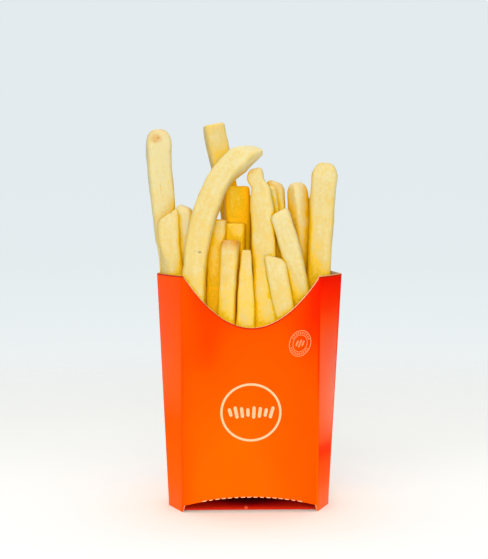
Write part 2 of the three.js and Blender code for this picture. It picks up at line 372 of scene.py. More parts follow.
def outline_corners(z, inset=0.0):
    """The hexagon at a height, moved inwards by an inset: anticlockwise, right corner first."""
    corner, depth = half_sizes(z)
    slant = math.hypot(corner - CREASE_HALF, depth)
    inner_depth = depth - inset
    inner_corner = corner - inset * slant / depth
    inner_crease = inner_corner - inner_depth * (corner - CREASE_HALF) / depth
    half = [(inner_corner, 0), (inner_crease, inner_depth), (-inner_crease, inner_depth)]
    return np.array(half + [(-x, -y) for x, y in half])


# %% [markdown]
# ## Columns around the sleeve
#
# The sleeve is a grid of points whose columns run up the wall. A crease is a small bend of a few
# columns, because board cracks a little before it folds sharply. The front has the closest columns:
# its foot arch was torn along a perforation, and each torn nick needs columns of its own. On the left
# rear panel the board laps over the glue flap, which lifts it by its thickness and leaves a cut edge.

# %% Columns
RIGHT_REAR, BACK, LEFT_REAR, LEFT_FRONT, FRONT, RIGHT_FRONT = range(6)
BEND = 0.5  # how far a crease's bend reaches along each panel
BEND_SHARES = (0, 0.25, 0.5, 0.75)
PANEL_STEPS = {RIGHT_REAR: 10, BACK: 64, LEFT_REAR: 12, LEFT_FRONT: 10, FRONT: 172, RIGHT_FRONT: 10}
LAP_SHARE = 0.94  # where the lapping board ends, just before the left corner
LAP_LIFT = 0.42
LAP_RISE = (0.2, 0.6)  # the lapping board lifts off between these shares of its panel


def wall_columns():
    """Columns as (kind, index, share, lift): a bend column at a corner, a panel column on an edge."""
    columns = []
    for edge in range(6):
        columns += [("bend", edge, share, 0) for share in BEND_SHARES]
        steps = PANEL_STEPS[edge]
        shares = [i / steps for i in range(steps)]
        if edge != LEFT_REAR:
            columns += [("panel", edge, share, 0) for share in shares]
            continue
        lapping = [share for share in shares if share < LAP_SHARE] + [LAP_SHARE]
        for share in lapping:
            columns.append(("panel", edge, share, LAP_LIFT * float(smooth_step(*LAP_RISE, share))))
        columns += [("panel", edge, LAP_SHARE, 0)]
    return columns


COLUMNS = wall_columns()
print("columns:", len(COLUMNS))

# %% [markdown]
# ## Swelling
#
# A filled carton is never flat. The fries push the front and back out by a few tenths of a
# millimetre, most of all near the rim where nothing holds the board, and the board is slightly wavy.
# It is little to see in the outline, but it is what makes a broad panel catch light unevenly.

# %% Swelling of a panel
SWELL = {FRONT: 0.7, BACK: 0.7}
SIDE_SWELL = 0.2
SWELL_TOP = 0.8  # share of the rim's height from which a panel swells fully
WAVE = 0.16
WAVE_LENGTH = 34.0
WAVE_APART = 3.7  # keeps one panel's waves away from the next one's


def swelling(edge, share, z):
    """How far a panel stands out of its plane at a share of its width and a height."""
    most = SWELL.get(edge, SIDE_SWELL)
    across = 1 - (2 * share - 1) ** 2
    upwards = math.sin(math.pi / 2 * min(max(z, 0) / (SWELL_TOP * RIM_HEIGHT), 1))
    width = 2 * CREASE_HALF if edge in SWELL else HALF_DEPTH_RIM
    wave = noise.noise(Vector((share * width / WAVE_LENGTH, WAVE_APART * edge, z / WAVE_LENGTH)))
    return across * (most * upwards + WAVE * wave)


def wall_point(column, z, inset=0.0):
    """A point of the sleeve at a height, on its outer face or moved inwards by an inset."""
    kind, index, share, lift = column
    corners = outline_corners(z, inset)
    here, after = corners[index], corners[(index + 1) % 6]
    along = (after - here) / np.linalg.norm(after - here)
    if kind == "bend":
        before = corners[index - 1]
        back = (before - here) / np.linalg.norm(before - here)
        first, last = here + back * BEND, here + along * BEND
        flat = first * (1 - share) ** 2 + here * 2 * share * (1 - share) + last * share**2
    else:
        outwards = np.array((along[1], -along[0]))
        flat = lerp(here + along * BEND, after - along * BEND, share)
        flat = flat + outwards * (swelling(index, share, z) + lift)
    return np.array((flat[0], flat[1], z))


def front_face(x, z):
    """The depth of the front panel's outer face at a place across it."""
    share = (x + CREASE_HALF - BEND) / (2 * (CREASE_HALF - BEND))
    return wall_point(("panel", FRONT, share, 0), z)[1]


print("front face at mid height:", round(front_face(0, 50), 2), "mm")

# %% [markdown]
# ## The cut edges
#
# The front's scoop is a parabola from crease to crease, the back's top a low arch, and the slanted
# side panels end level at the front and rise a little towards the back. Below, an arch is cut out of
# front and back. Its middle was perforated: the tearing left a row of small pale tabs.

# %% Top and bottom of each column
SCOOP_DEPTH = 21.5
BACK_CREASE_RISE = 1.7
BACK_ARCH_RISE = 6.3
FOOT_ARCH_HALF = 27.75
FOOT_ARCH_END = 2.85
FOOT_ARCH_TOP = 6.2
FOOT_CUT_HALF = 28.45  # where the arch's end cut meets the floor
TAB_FROM, TAB_TO = -20.2, 22.0
TAB_PITCH = 2.68
TAB_SHARE = 0.7  # share of the pitch that is tab
TAB_HEIGHT = 0.38


def back_top(spread):
    """The height of the back's low arch, at a share of the way from its middle to a crease."""
    return RIM_HEIGHT + BACK_CREASE_RISE + BACK_ARCH_RISE * (1 - spread**2)


def top_height(column, x):
    """The height of a column's cut top."""
    edge = column[1]
    spread = min(abs(x) / CREASE_HALF, 1)
    if column[0] == "bend":
        edge = BACK if edge in (BACK, LEFT_REAR) else RIGHT_FRONT
    if edge == FRONT:
        return RIM_HEIGHT - SCOOP_DEPTH * (1 - spread**2)
    if edge == BACK:
        return back_top(spread)
    if edge in (RIGHT_REAR, LEFT_REAR):
        to_corner = (abs(x) - CREASE_HALF) / (CORNER_HALF_RIM - CREASE_HALF)
        return RIM_HEIGHT + BACK_CREASE_RISE * (1 - max(to_corner, 0))
    return RIM_HEIGHT


def torn_part(x):
    """What the perforation of the foot arch left at a place: a "tab", a "nick" or "nothing"."""
    if not TAB_FROM < x < TAB_TO:
        return "nothing"
    return "tab" if ((x - TAB_FROM) / TAB_PITCH) % 1 < TAB_SHARE else "nick"


def foot_height(column, x):
    """The height of a column's cut foot."""
    if column[1] not in (FRONT, BACK, LEFT_REAR, RIGHT_FRONT) or abs(x) > FOOT_CUT_HALF:
        return 0.0
    if abs(x) > FOOT_ARCH_HALF:
        return FOOT_ARCH_END * (FOOT_CUT_HALF - abs(x)) / (FOOT_CUT_HALF - FOOT_ARCH_HALF)
    arch = lerp(FOOT_ARCH_TOP, FOOT_ARCH_END, (x / FOOT_ARCH_HALF) ** 2)
    return arch + (TAB_HEIGHT if column[1] == FRONT and torn_part(x) == "nick" else 0)


print("scoop's lowest point:", top_height(("panel", FRONT, 0.5, 0), 0), "mm")

# %% [markdown]
# ## Folding the sleeve
#
# Rows are close together at the cut edges and even between them. The outer face and the inner face
# share the same columns and rows, half a millimetre apart, and strips close the top and the bottom.
# The topmost row of the outer face is rounded off and pale: die-cutting cracks the coating there. Just
# under it a darker red line is painted shade.

# %% Rows of a column
LOW_ROWS = (0, TAB_HEIGHT, 1.3, 2.6)
MIDDLE_ROWS = 34
HIGH_ROWS = (2.6, 1.3)
RIM_SHADE_ROWS = (0.75, 0.4)  # a painted shade line lies this far under the worn strip
WORN_LEFT, WORN_RIGHT = 0.03, 0.22  # height of the cracked strip under the rim
WORN_FROM, WORN_TO = -15, 25  # it grows between these places across the carton
WORN_SPOT = 4  # length over which the cracking comes and goes
WORN_LEAST, WORN_MOST = 0.7, 1.2
EDGE_ROUNDING = 0.1
PRINTED, UNCOATED, CUT = range(3)


def worn_height(x):
    """How far down the coating has cracked at a place across the carton."""
    spot = noise.noise(Vector((x / WORN_SPOT, 1.5, 0))) * 0.5 + 0.5
    grown = float(smooth_step(WORN_FROM, WORN_TO, x))
    return lerp(WORN_LEFT, WORN_RIGHT, grown) * lerp(WORN_LEAST, WORN_MOST, spot)


def column_heights(column):
    """The heights of one column's rows, from its foot to its top."""
    x = wall_point(column, RIM_HEIGHT)[0]
    top = top_height(column, x)
    foot = foot_height(column, wall_point(column, 0)[0])
    low = [foot + step for step in LOW_ROWS]
    worn = worn_height(x)
    high = [top - step for step in HIGH_ROWS] + [top - worn - step for step in RIM_SHADE_ROWS]
    high += [top - worn, top]
    middle = np.linspace(low[-1], high[0], MIDDLE_ROWS + 2)[1:-1]
    return [*low, *middle, *high]


# %% Painted shade and gloss of the print
SHADE_SIDEWAYS = 0.3  # painted shade: how much redder the back is at its creases than in its middle
SHADE_AT_CREASE = 0.76  # the front's painted shade gradient evens out towards its two creases
EVEN_LEFT, EVEN_RIGHT = 4.0, 0.8  # a low power spreads the even stretch further in
CORNER_SHADE = 0.35  # painted shade: the front's upper right corner is redder still
CORNER_ACROSS, CORNER_UP = (0.75, 1), (0.7, 0.95)  # where that red starts and where it is full
FLUSHES = ((-0.62, 64), (0.9, 81))  # soft redder places of painted shade: share of the front's half width, and height
FLUSH_SHADE, FLUSH_ACROSS, FLUSH_UP = 0.14, 0.3, 17
# The slanted front panels catch the light least evenly: their painted shade is given as redness at these
# heights.
SIDE_HEIGHTS = (0, 12, 26, 38, 50, 62, 72, 80, 88, 100)
SHADE_ON_SIDES = {
    LEFT_FRONT: (0, 0, 0.28, 0.45, 0.33, 0.37, 0.54, 0.58, 0.68, 0.68),
    RIGHT_FRONT: (0, 0.55, 0.92, 0.38, 0.43, 0.6, 0.74, 0.78, 0.92, 1.3),
}
GLOSS_ON_SIDES = {  # every other panel of the sleeve has 1
    LEFT_FRONT: (1.5, 0.4, 0.2, 0.2, 2.2, 5.3, 7.5, 7.8, 8.4, 6.2),
    RIGHT_FRONT: (1.5, 0.4, 0.15, 2.8, 5.6, 7.3, 6, 2, 0.2, 0.1),
}
RIM_SHADE_RED = 1.6  # redness of the painted shade line under the rim


def on_slanted_front(column, height, values, otherwise):
    """A value read off a slanted front panel's list at a height, or another value on other panels."""
    if column[0] == "panel" and column[1] in values:
        return np.interp(height, SIDE_HEIGHTS, values[column[1]])
    return otherwise


def painted_shade_redness(column, point):
    """How far painted shade reddens the orange print at a point of the sleeve."""
    upwards = point[2] / RIM_HEIGHT
    across = np.clip(point[0] / CREASE_HALF, -1, 1)
    if column[1] != FRONT:
        return on_slanted_front(column, point[2], SHADE_ON_SIDES, upwards + SHADE_SIDEWAYS * across**2)
    evened = abs(across) ** (EVEN_RIGHT if across > 0 else EVEN_LEFT)
    corner = smooth_step(*CORNER_ACROSS, across) * smooth_step(*CORNER_UP, upwards)
    flush = sum(
        math.exp(-(((across - x) / FLUSH_ACROSS) ** 2) - ((point[2] - z) / FLUSH_UP) ** 2)
        for x, z in FLUSHES
    )
    return lerp(upwards, SHADE_AT_CREASE, evened) + CORNER_SHADE * corner + FLUSH_SHADE * flush


def store(made, name, values):
    """Keeps a number or a vector at each point of a mesh, for its material to read."""
    values = np.asarray(values, np.float32)
    kind, field = ("FLOAT", "value") if values.ndim == 1 else ("FLOAT_VECTOR", "vector")
    attribute = made.data.attributes.new(name, kind, "POINT")
    attribute.data.foreach_set(field, values.ravel())


# %% The sleeve's mesh
def fold_sleeve(materials):
    """The sleeve: each column's outer points from foot to top, then its inner points."""
    points, faces, kinds, reds, glosses = [], [], [], [], []
    rows = len(LOW_ROWS) + MIDDLE_ROWS + len(HIGH_ROWS) + len(RIM_SHADE_ROWS) + 2
    tabs = []
    for column in COLUMNS:
        heights = column_heights(column)
        outer = [wall_point(column, z) for z in heights]
        inner = [wall_point(column, z, BOARD) for z in heights]
        rounded = lerp(outer[-1], inner[-1], EDGE_ROUNDING / BOARD)
        rounded[2] = heights[-1]
        outer[-1] = rounded
        points += outer + inner
        shade_reds = [painted_shade_redness(column, point) for point in outer + inner]
        # The painted shade line under the rim.
        shade_reds[rows - 3 : rows - 1] = (RIM_SHADE_RED, RIM_SHADE_RED)
        reds += shade_reds
        glosses += [on_slanted_front(column, z, GLOSS_ON_SIDES, 1.0) for z in heights] * 2
        tabs.append(column[:2] == ("panel", FRONT) and torn_part(outer[0][0]) == "tab")
    count = len(COLUMNS)
    stride = 2 * rows
    for c in range(count):
        a, b = c * stride, ((c + 1) % count) * stride
        lap = COLUMNS[c][3] > 0 and COLUMNS[(c + 1) % count][3] == 0
        for r in range(rows - 1):
            faces.append((a + r, b + r, b + r + 1, a + r + 1))
            worn = r == rows - 2 or (r == 0 and tabs[c] and tabs[(c + 1) % count])
            kinds.append(CUT if worn or lap else PRINTED)
            faces.append((a + rows + r + 1, b + rows + r + 1, b + rows + r, a + rows + r))
            kinds.append(UNCOATED)
        faces.append((a + rows - 1, b + rows - 1, b + 2 * rows - 1, a + 2 * rows - 1))
        faces.append((a + rows, b + rows, b, a))
        kinds += [CUT, CUT]
    made = mesh_object("carton_sleeve", points, faces, materials, kinds)
    store(made, "painted_shade_redness", reds)
    store(made, "gloss", glosses)
    return made


# %% [markdown]
# ## Printed, cut and uncoated board
#
# The sheet is folding boxboard: pressed wood fibre, with a white clay coating on the side that is
# offset printed and varnished. Its ink is orange. Towards the rim, at the front's upper right corner
# and on the slanted panels it is reddened, and on the bottom flaps darkened, as painted shade. Seen
# squarely the varnish is hardly there, and seen aslant it throws a soft glare. So all of the shine is
# the shader's coat, and its weight grows as a face turns away. The painted shade's redness and the
# gloss are stored at the points of the mesh. On the front fold there is a small pale orange spot. The
# back of the sheet is uncoated, so it is matt, greyer and shows its fibres. A cut edge shows the pale
# core.

# %% Print on coated board
INK_SHARES = (0, 0.3, 0.55, 0.75, 0.9, 1.05, 1.25, 1.6)
# 0 is the orange print; further up the list the reds are painted shade.
PRINT_AND_SHADE_INKS = ("#FF5E01", "#FF5C01", "#FF5301", "#FE4C01", "#FC3001", "#FA2402", "#F01703", "#A82C08")
# The bottom's deep reds, darkest at the flaps' tips and middles, are painted shade of the hollow behind
# the foot arches.
TRAY_PAINTED_SHADE_INKS = ("#C8240E", "#A20C08", "#660204", "#520103", "#480103", "#400102", "#3A0102", "#300101")
CLOUD_MM = 14  # the print's slow unevenness
SPECKLE_MM = 0.9  # the real mottle is nearer 0.3 mm and wouldn't show
VARNISH_IOR = 1.47
COAT_IOR = 1.65  # above a real varnish's 1.5, to carry the glare of a flat panel seen aslant
GLANCE_POWER = 4.5  # a high power keeps the glare to faces that turn far away
# A small pale orange spot on the front fold.
FOLD_SPOT_COLOUR = "#F4683A"
FOLD_SPOTS = (((-1.6, -10.3, 1.2), (1.0, 2, 1.1), 0.9),)  # the spot: centre, half sizes, strength


def printed_board(name, inks, pale_spots=()):
    """Offset print under satin varnish: a colour reddened by painted shade, faintly cloudy, with glare
    when seen aslant.
    """
    material, tree = new_material(name)
    where = add_node(tree, "ShaderNodeTexCoord").outputs["Object"]
    redder = add_node(tree, "ShaderNodeAttribute", attribute_name="painted_shade_redness").outputs["Fac"]
    fitted = add_node(tree, "ShaderNodeMath", {0: redder, 1: 1 / INK_SHARES[-1]}, operation="MULTIPLY")
    stops = [(share / INK_SHARES[-1], colour) for share, colour in zip(INK_SHARES, inks)]
    printed = add_node(tree, "ShaderNodeValToRGB", {"Fac": fitted}, stops=stops)
    cloud = add_node(
        tree, "ShaderNodeTexNoise", {"Vector": where, "Scale": 1 / (CLOUD_MM * MM), "Detail": 3.0}
    )
    speckle = add_node(
        tree, "ShaderNodeTexNoise", {"Vector": where, "Scale": 1 / (SPECKLE_MM * MM), "Detail": 2.0}
    )
    cloudy = add_node(
        tree, "ShaderNodeMapRange", {"Value": cloud, **NOISE_RANGE, "To Min": 0.96, "To Max": 1.03}
    )
    toned = add_node(tree, "ShaderNodeHueSaturation", {"Color": printed, "Value": cloudy})
    sheen = add_node(tree, "ShaderNodeMapRange", {"Value": speckle, "To Min": 0.30, "To Max": 0.40})
    relief = add_node(tree, "ShaderNodeBump", {"Height": speckle, "Strength": 0.06, "Distance": 0.1 * MM})
    facing = add_node(tree, "ShaderNodeLayerWeight", {"Blend": 0.5}).outputs["Facing"]
    glancing = add_node(tree, "ShaderNodeMath", {0: facing, 1: GLANCE_POWER}, operation="POWER")
    gloss = add_node(tree, "ShaderNodeAttribute", attribute_name="gloss").outputs["Fac"]
    glare = add_node(tree, "ShaderNodeMath", {0: glancing, 1: gloss}, operation="MULTIPLY", use_clamp=True)
    spotted_print = with_spots(tree, where, toned, 0.0, pale_spots, FOLD_SPOT_COLOUR)
    surface = add_node(
        tree,
        "ShaderNodeBsdfPrincipled",
        {"Base Color": spotted_print, "Roughness": sheen, "Coat Weight": glare, "Normal": relief},
    )
    surface.inputs["IOR"].default_value = VARNISH_IOR
    surface.inputs["Specular IOR Level"].default_value = 0.0
    surface.inputs["Coat IOR"].default_value = COAT_IOR
    surface.inputs["Coat Roughness"].default_value = 0.2
    add_node(tree, "ShaderNodeOutputMaterial", {"Surface": surface})
    return material


# %% Bare board: the uncoated back and the cut core
FIBRE_MM = 0.7  # wood fibres are under 0.1 mm thick, so this is drawn coarser


def bare_board(name, dark, pale, roughness):
    """Pressed fibre with no coating: matt, with faint darker flecks where fibres crowd."""
    material, tree = new_material(name)
    where = add_node(tree, "ShaderNodeTexCoord").outputs["Object"]
    fibres = add_node(
        tree, "ShaderNodeTexNoise", {"Vector": where, "Scale": 1 / (FIBRE_MM * MM), "Detail": 4.0}
    )
    fibrous = add_node(tree, "ShaderNodeValToRGB", {"Fac": fibres}, stops=[(0.3, dark), (0.6, pale)])
    relief = add_node(tree, "ShaderNodeBump", {"Height": fibres, "Strength": 0.3, "Distance": 0.05 * MM})
    surface = add_node(
        tree,
        "ShaderNodeBsdfPrincipled",
        {"Base Color": fibrous, "Roughness": roughness, "Specular IOR Level": 0.2, "Normal": relief},
    )
    add_node(tree, "ShaderNodeOutputMaterial", {"Surface": surface})
    return material


print_side = printed_board("orange_printed_board", PRINT_AND_SHADE_INKS)
tray_painted_shade_side = printed_board("red_board_painted_shade", TRAY_PAINTED_SHADE_INKS, FOLD_SPOTS)
inner_side = bare_board("uncoated_board_back", "#BDAE98", "#D6CAB6", 0.85)
cut_core = bare_board("cut_board_core", "#EC9468", "#F9B48C", 0.9)

# %% The sleeve
sleeve = fold_sleeve([print_side, inner_side, cut_core])

# %% [markdown]
# ## The bottom
#
# The floor panel is folded up at front and back into two flaps, which lean in behind the foot arches.
# Floor and flaps are one bent strip, so they are made as one: a line of points in side view, rounded
# round each fold, and at each point a half width. The strip's outer side is printed too; its deep red,
# darker towards the flaps' tips and middles, is painted shade of the hollow behind the foot arches.

# %% Floor panel and flaps
TRAY_HALF_DEPTH = 10.5
FLAP_HALF_WIDTH = 28.8
FLAP_LENGTH = 10.2
FLAP_LEAN = 18  # degrees that a flap rises from the floor
FLAP_ROWS = np.linspace(FLAP_LENGTH, 0, 8)[:-1]  # from a flap's tip towards its fold
FLOOR_ROWS = np.linspace(-8, 8, 9)  # from front to back between the folds
FOLD_STEPS = 6
TRAY_COLUMNS = 30
SLACK = 0.05  # between the floor panel and the walls
TRAY_GLOSS = 0.1


def tray_line():
    """The strip in side view, front tip to back tip: pairs of a printed point and the other side's."""
    pivot = np.array((-TRAY_HALF_DEPTH + BOARD, BOARD))  # the fold's inner side
    lean = math.radians(FLAP_LEAN)
    flap_way = np.array((math.cos(lean), math.sin(lean)))
    flap_out = np.array((-math.sin(lean), math.cos(lean)))
    front = []
    for reach in FLAP_ROWS:
        front.append((pivot + flap_out * BOARD + flap_way * reach, pivot + flap_way * reach))
    for angle in np.linspace(math.pi / 2 + lean, 1.5 * math.pi, FOLD_STEPS):
        front.append((pivot + BOARD * np.array((math.cos(angle), math.sin(angle))), pivot))
    floor_line = [(np.array((y, 0.0)), np.array((y, BOARD))) for y in FLOOR_ROWS]
    back = [tuple(side * (-1, 1) for side in pair) for pair in front[::-1]]
    return front + floor_line + back


def tray_half_width(depth, height):
    """Half the strip's width: the flaps' own above the floor, and wall to wall on it."""
    if height > BOARD:
        return FLAP_HALF_WIDTH
    corners = outline_corners(0, BOARD)
    (corner, _), (crease, crease_depth) = corners[0], corners[1]
    return lerp(corner, crease, abs(depth) / crease_depth) - SLACK


def fold_tray(materials):
    """The floor panel with its flaps, painted darker red in shade towards their tips and their middles."""
    line = tray_line()
    points, faces, kinds, reds = [], [], [], []
    for printed, other in line:
        half = tray_half_width(*printed)
        reach = max(TRAY_HALF_DEPTH - abs(printed[0]), 0) if printed[1] > BOARD else 0
        for side in (printed, other):
            points += [(x, side[0], side[1]) for x in np.linspace(-half, half, TRAY_COLUMNS + 1)]
            # painted shade: darker towards a flap's tip and its middle
            reds += [
                reach / FLAP_LENGTH * INK_SHARES[-1] * (1 - abs(share))
                for share in np.linspace(-1, 1, TRAY_COLUMNS + 1)
            ]
    width = TRAY_COLUMNS + 1
    for i in range(len(line) - 1):
        a, b = 2 * i * width, 2 * (i + 1) * width
        for c in range(TRAY_COLUMNS):
            faces.append((a + c + 1, a + c, b + c, b + c + 1))
            faces.append((a + width + c, a + width + c + 1, b + width + c + 1, b + width + c))
            kinds += [PRINTED, UNCOATED]
        faces.append((a, a + width, b + width, b))
        faces.append((a + width - 1, b + width - 1, b + 2 * width - 1, a + 2 * width - 1))
        kinds += [CUT, CUT]
    last = 2 * (len(line) - 1) * width
    for c in range(TRAY_COLUMNS):
        faces.append((c, c + 1, width + c + 1, width + c))
        faces.append((last + c + 1, last + c, last + width + c, last + width + c + 1))
        kinds += [CUT, CUT]
    made = mesh_object("carton_tray", points, faces, materials, kinds)
    store(made, "painted_shade_redness", reds)
    store(made, "gloss", [TRAY_GLOSS] * len(points))
    return made


tray = fold_tray([tray_painted_shade_side, inner_side, cut_core])

# %% [markdown]
# ## Print on the front
#
# The front carries a pale ring with a motif, and a small seal near the right crease. Here the motif
# is a fan of plain sticks and the seal is two rings with ticks and three sticks. Each mark is a film
# of ink a few hundredths of a millimetre thick that follows the swollen panel, so it stays crisp at
# any size. A mark is drawn as rings of points: an inner and an outer edge, closed or open.

# %% Inks
INK_THICKNESS = 0.03
SUNK = 0.5  # share of a film's thickness that lies in the board, so that no gap shows


def ink(name, colour, roughness):
    """Opaque offset ink: flat colour, slightly duller than the varnish around it, with a fine mottle."""
    material, tree = new_material(name)
    where = add_node(tree, "ShaderNodeTexCoord").outputs["Object"]
    mottle = add_node(
        tree, "ShaderNodeTexNoise", {"Vector": where, "Scale": 1 / (SPECKLE_MM * MM), "Detail": 2.0}
    )
    value = add_node(tree, "ShaderNodeMapRange", {"Value": mottle, "To Min": 0.93, "To Max": 1.04})
    toned = add_node(tree, "ShaderNodeHueSaturation", {"Color": linear(colour), "Value": value})
    surface = add_node(
        tree,
        "ShaderNodeBsdfPrincipled",
        {"Base Color": toned, "Roughness": roughness, "Specular IOR Level": 0.22},
    )
    add_node(tree, "ShaderNodeOutputMaterial", {"Surface": surface})
    return material


cream_ink = ink("cream_offset_ink", "#F4B98A", 0.5)
seal_ink = ink("light_orange_ink", "#FF8048", 0.5)


# %% Films of ink
def film(outlines):
    """Points and faces of closed films, each from its inner and outer edge as (x, z)."""
    points, faces = [], []
    for inner, outer in outlines:
        start = len(points)
        count = len(inner)
        for edge in (inner, outer):
            for lift in (-SUNK * INK_THICKNESS, INK_THICKNESS):
                points += [(x, front_face(x, z) - lift, z) for x, z in edge]
        low_in, top_in, low_out, top_out = (start + count * k for k in range(4))
        for i in range(count):
            j = (i + 1) % count
            faces.append((top_in + i, top_in + j, top_out + j, top_out + i))
            faces.append((low_in + j, low_in + i, low_out + i, low_out + j))
            faces.append((top_out + i, top_out + j, low_out + j, low_out + i))
            faces.append((top_in + j, top_in + i, low_in + i, low_in + j))
    return points, faces


def ellipse(centre, half_wide, half_high, lean, steps):
    """An ellipse's points, anticlockwise, leaning by some degrees to the right."""
    angles = np.linspace(0, 2 * math.pi, steps, endpoint=False)
    a = math.radians(-lean)
    x, z = half_wide * np.cos(angles), half_high * np.sin(angles)
    return [
        (centre[0] + u * math.cos(a) - v * math.sin(a), centre[1] + u * math.sin(a) + v * math.cos(a))
        for u, v in zip(x, z)
    ]


def ring(centre, half_wide, half_high, line, lean=0, steps=96):
    """A line's two edges on both sides of an ellipse."""
    inner = ellipse(centre, half_wide - line / 2, half_high - line / 2, lean, steps)
    outer = ellipse(centre, half_wide + line / 2, half_high + line / 2, lean, steps)
    return inner, outer


END_STEPS = 6  # steps round a stick's end
MIDDLE_LINE = 0.02  # the middle line has this share of a stick's thickness, so no two points meet


def stick(centre, length, thickness, lean):
    """A filled bar with rounded ends: its inner edge is the bar's own middle line."""
    a = math.radians(lean)
    up = np.array((math.sin(a), math.cos(a)))
    side = np.array((math.cos(a), -math.sin(a)))
    inner, outer = [], []
    for end in (1, -1):
        tip = np.array(centre) + up * end * (length - thickness) / 2
        for step in range(END_STEPS + 1):
            turn = math.pi * step / END_STEPS
            reach = side * math.cos(turn) * end + up * math.sin(turn) * end
            inner.append(tuple(tip + reach * thickness * MIDDLE_LINE))
            outer.append(tuple(tip + reach * thickness / 2))
    return inner, outer


# %% The ring with its fan of sticks
RING_CENTRE = (0, 42.75)
RING_HALF_WIDE, RING_HALF_HIGH = 12.35, 11.9
RING_LINE = 0.95
STICKS = 8
STICK_SPAN = 17.4
STICK_LENGTHS = (3.6, 4.6, 5.2)
STICK_THICKNESS = 1.35
STICK_LEAN = 16  # degrees that the outermost sticks lean

marks = [ring(RING_CENTRE, RING_HALF_WIDE, RING_HALF_HIGH, RING_LINE)]
for i in range(STICKS):
    side = 2 * i / (STICKS - 1) - 1
    place = (RING_CENTRE[0] + side * STICK_SPAN / 2, RING_CENTRE[1])
    marks.append(stick(place, STICK_LENGTHS[(i * 2) % 3], STICK_THICKNESS, STICK_LEAN * side))
print_ring = mesh_object("print_ring", *film(marks), [cream_ink])

# %% The seal
SEAL_CENTRE = (20.34, 71.9)
SEAL_HALF_WIDE, SEAL_HALF_HIGH = 4.35, 5.55
SEAL_LEAN = 20
SEAL_LINE, SEAL_INNER_LINE = 0.36, 0.3
SEAL_INNER = 0.66  # size of the inner ring as a share of the outer one
TICKS = 26
TICKS_AT = 0.83
TICK_LENGTH, TICK_THICKNESS = 0.95, 0.5
TICKLESS = 1.6  # no ticks this near to the seal's middle height
SEAL_STICKS = ((-1.25, 2.6), (0, 3.6), (1.25, 2.6))  # place across and length
SEAL_STICK_THICKNESS = 0.75

marks = [
    ring(SEAL_CENTRE, SEAL_HALF_WIDE, SEAL_HALF_HIGH, SEAL_LINE, SEAL_LEAN, 64),
    ring(
        SEAL_CENTRE,
        SEAL_HALF_WIDE * SEAL_INNER,
        SEAL_HALF_HIGH * SEAL_INNER,
        SEAL_INNER_LINE,
        SEAL_LEAN,
        48,
    ),
]
ticks = ellipse(SEAL_CENTRE, SEAL_HALF_WIDE * TICKS_AT, SEAL_HALF_HIGH * TICKS_AT, SEAL_LEAN, TICKS)
for x, z in ticks:
    outwards = math.degrees(math.atan2(x - SEAL_CENTRE[0], z - SEAL_CENTRE[1]))
    if abs(z - SEAL_CENTRE[1]) > TICKLESS:
        marks.append(stick((x, z), TICK_LENGTH, TICK_THICKNESS, outwards))
for offset, length in SEAL_STICKS:
    place = (SEAL_CENTRE[0] + offset, SEAL_CENTRE[1])
    marks.append(stick(place, length, SEAL_STICK_THICKNESS, SEAL_LEAN))
print_seal = mesh_object("print_seal", *film(marks), [seal_ink])

# %% [markdown]
# ## Where the fries stand
#
# A fry is a square stick of potato on a bent line: a foot inside the heap, a tip, and a bow that pulls
# its middle out of straight. The long ones that show are listed one by one, each with the size of its
# cut, how far it is turned about its own line, how its tip ends and how deep its colour is. The short
# ones that fill the gaps come from a rule with a seeded draw.

# %% The showing fries
FOOT_HEIGHT = 62.0
PLAIN = {
    "bow": (0, 0, 0),
    "turn": 0,
    "taper": 1,
    "taper_from": 0,
    "hook": 0,
    "dome": 1.4,  # length over which the tip rounds off
    "round": 0.2,  # share of the width that the rounding takes
    "cut": 0,  # slope of the tip's cut
    "tone": 0.35,  # 0 pale, 1 deep gold
    "brown": 0.25,  # browning at the tip
}


def new_fry(name, foot, tip, size, **own):
    """One fry: where its foot and tip are, the two sides of its cut, and what else is its own."""
    return {**PLAIN, "name": name, "foot": foot, "tip": tip, "size": size, **own}


